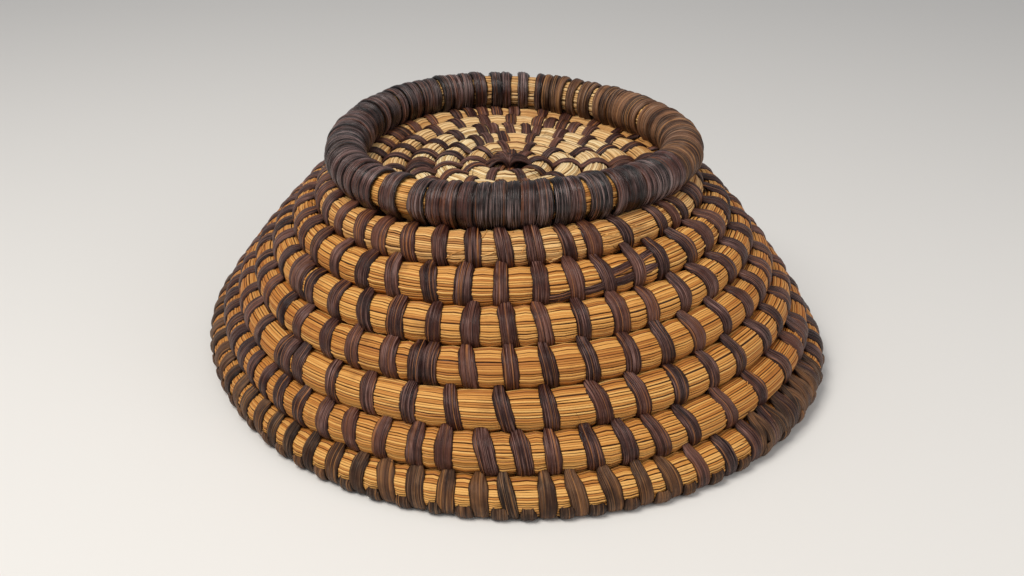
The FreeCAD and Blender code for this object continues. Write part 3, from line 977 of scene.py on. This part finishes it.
class Bark:
    """The looks of one kind of splint."""

    def __init__(self, name, tones, sheen, streak, streak_share, roughness, specular):
        self.name = name
        self.tones = tones
        self.sheen = sheen
        self.streak = streak
        self.streak_share = streak_share
        self.roughness = roughness
        self.specular = specular

    def material(self):
        """Split bark: fibres along the strip, a painted grey sheen on patches of the ridges, tan streaks and
        dark cracks, and painted shade along the rolled edges.
        """
        material, tree, shader = new_material(self.name)
        grain = node(tree, "ShaderNodeUVMap", uv_map="grain").outputs[0]
        place = node(tree, "ShaderNodeTexCoord").outputs["Object"]
        coarse = remap(tree, noise(tree, scaled(tree, grain, (0.85, 0.020, 1)), 1.0, 2.0), 0.34, 0.66, 0, 1)
        fibre = remap(tree, noise(tree, scaled(tree, grain, (2.2, 0.045, 1)), 1.0, 3.0), 0.34, 0.66, 0, 1)
        tone = weighted(tree, (attribute(tree, "tint"), 0.44), (coarse, 0.32), (fibre, 0.24))
        colour = ramp(tree, tone, tuple(zip((0.16, 0.48, 0.84), self.tones)))
        # Painted sheen: patches of the lighter fibres are mixed towards a grey sheen colour
        sheen_patches = remap(tree, noise(tree, place, 55.0, 3.0), 0.38, 0.58, 0.0, 1.0)
        painted_sheen_share = calculate(tree, "MULTIPLY", remap(tree, fibre, 0.45, 0.85, 0.0, 0.8), sheen_patches)
        colour = blend(tree, painted_sheen_share, colour, self.sheen)
        thread = noise(tree, scaled(tree, grain, (1.1, 0.012, 1)), 1.0, 2.0, 0.5)
        colour = blend(tree, remap(tree, thread, 0.58, 0.66, 0.0, self.streak_share), colour, self.streak)
        crack = noise(tree, scaled(tree, grain, (2.1, 0.020, 1)), 1.0, 3.0, 0.5)
        colour = blend(tree, remap(tree, crack, 0.36, 0.44, 0.85, 0.0), colour, self.tones[0])
        dirt = remap(tree, noise(tree, place, 70.0, 4.0), 0.52, 0.70, 0.0, 0.6)
        colour = blend(tree, dirt, colour, self.tones[0])
        # Painted shade: the strip darkens towards its rolled edges, where it meets the straw or the next wrap
        edge_shade = remap(tree, attribute(tree, "edge_shade"), 0.74, 0.98, 0.0, 0.85)
        colour = blend(tree, edge_shade, colour, self.tones[0])
        tree.links.new(colour, shader.inputs["Base Color"])
        low, high = self.roughness
        tree.links.new(remap(tree, fibre, 0.1, 0.9, low, high), shader.inputs["Roughness"])
        shader.inputs["Specular IOR Level"].default_value = self.specular
        relief = weighted(tree, (fibre, 0.6), (crack, 0.8))
        bump(tree, shader, relief, 0.8, 0.0007)
        return material


BARKS = (
    Bark(
        "bark_splint", ((0.008, 0.002, 0.002), (0.046, 0.013, 0.009), (0.155, 0.056, 0.032)),
        (0.280, 0.155, 0.130), (0.42, 0.160, 0.048), 0.75, (0.26, 0.52), 0.25,
    ),
    Bark(
        "rim_splint", ((0.010, 0.004, 0.002), (0.062, 0.023, 0.010), (0.185, 0.082, 0.034)),
        (0.270, 0.155, 0.085), (0.38, 0.165, 0.048), 0.75, (0.34, 0.58), 0.23,
    ),
    Bark(
        "ring_splint_dark", ((0.001, 0.001, 0.001), (0.012, 0.003, 0.002), (0.105, 0.034, 0.023)),
        (0.340, 0.230, 0.210), (0.30, 0.100, 0.034), 0.40, (0.16, 0.40), 0.38,
    ),
    Bark(
        "ring_splint_brown", ((0.012, 0.004, 0.002), (0.095, 0.037, 0.016), (0.280, 0.130, 0.062)),
        (0.330, 0.205, 0.135), (0.46, 0.220, 0.080), 0.70, (0.34, 0.58), 0.25,
    ),
)
MATERIALS = {"straw": straw_material()}
for bark in BARKS:
    MATERIALS[bark.name] = bark.material()

make_straw_coil()
make_ring_straw()
make_stitches()
make_rim()
make_rim_end()
make_tails()
make_fan()
make_ring_wraps()
make_loose_straws()
make_loose_fibres()

# Floor, light and camera
FLOOR_SIZE = 60.0


def make_floor():
    """A plain pale floor."""
    mesh = bpy.data.meshes.new("floor")
    h = FLOOR_SIZE / 2
    mesh.from_pydata([(-h, -h, 0), (h, -h, 0), (h, h, 0), (-h, h, 0)], [], [(0, 1, 2, 3)])
    material, _, shader = new_material("floor")
    shader.inputs["Base Color"].default_value = (0.72, 0.70, 0.67, 1)
    shader.inputs["Roughness"].default_value = 0.8
    mesh.materials.append(material)
    floor = bpy.data.objects.new("floor", mesh)
    bpy.context.collection.objects.link(floor)


def make_world(colour, strength):
    """An even studio sky."""
    world = bpy.data.worlds.new("studio")
    bpy.context.scene.world = world
    world.use_nodes = True
    background = world.node_tree.nodes["Background"]
    background.inputs[0].default_value = (*colour, 1)
    background.inputs[1].default_value = strength


def area_light(name, place, target, size, power, colour):
    """A soft square lamp that points at a target."""
    lamp = bpy.data.lights.new(name, "AREA")
    lamp.size = size
    lamp.energy = power
    lamp.color = colour
    made = bpy.data.objects.new(name, lamp)
    made.location = place
    made.rotation_mode = "QUATERNION"
    made.rotation_quaternion = (Vector(target) - Vector(place)).to_track_quat("-Z", "Y")
    bpy.context.collection.objects.link(made)


# The camera, from a fit to the photo: distances in course pitches, angles in radians
FOCAL_PIXELS = 1144.75
FRAME_WIDTH = 1024
SENSOR = 36.0
CAMERA_DISTANCE = 34.348 * WALL_PITCH
CAMERA_ELEVATION = 0.43985
CAMERA_ROLL = -0.00127
CAMERA_YAW = 0.00506
CAMERA_PITCH = -0.03266


def make_camera():
    """The camera at the photo's viewing angle, aimed near the middle of the wall."""
    e = CAMERA_ELEVATION
    back = Vector((0, -math.cos(e), math.sin(e)))
    right = Vector((1, 0, 0))
    up = back.cross(right)
    target = Vector((AXIS[0], AXIS[1], (TOP_HEIGHT + RIM_CENTRE_HEIGHT) / 2))
    place = (target + back * CAMERA_DISTANCE) * MM
    basis = Matrix((right, up, back)).transposed()
    basis = basis @ Matrix.Rotation(-CAMERA_YAW, 3, "Y") @ Matrix.Rotation(CAMERA_PITCH, 3, "X")
    basis = basis @ Matrix.Rotation(-CAMERA_ROLL, 3, "Z")
    data = bpy.data.cameras.new("camera")
    data.sensor_width = SENSOR
    data.lens = FOCAL_PIXELS / FRAME_WIDTH * SENSOR
    data.clip_start = 0.01
    data.clip_end = 50
    camera = bpy.data.objects.new("camera", data)
    camera.matrix_world = Matrix.Translation(place) @ basis.to_4x4()
    bpy.context.collection.objects.link(camera)
    bpy.context.scene.camera = camera


make_floor()
make_world((0.94, 0.96, 1.0), 0.41)
area_light("key", (-0.5, -0.5, 1.3), (0, 0, 0.05), 0.7, 17, (1.0, 0.97, 0.92))
area_light("fill", (0.9, -0.7, 0.7), (0, 0, 0.05), 0.9, 4, (1.0, 0.97, 0.94))
make_camera()
bpy.context.scene.view_settings.view_transform = "Standard"
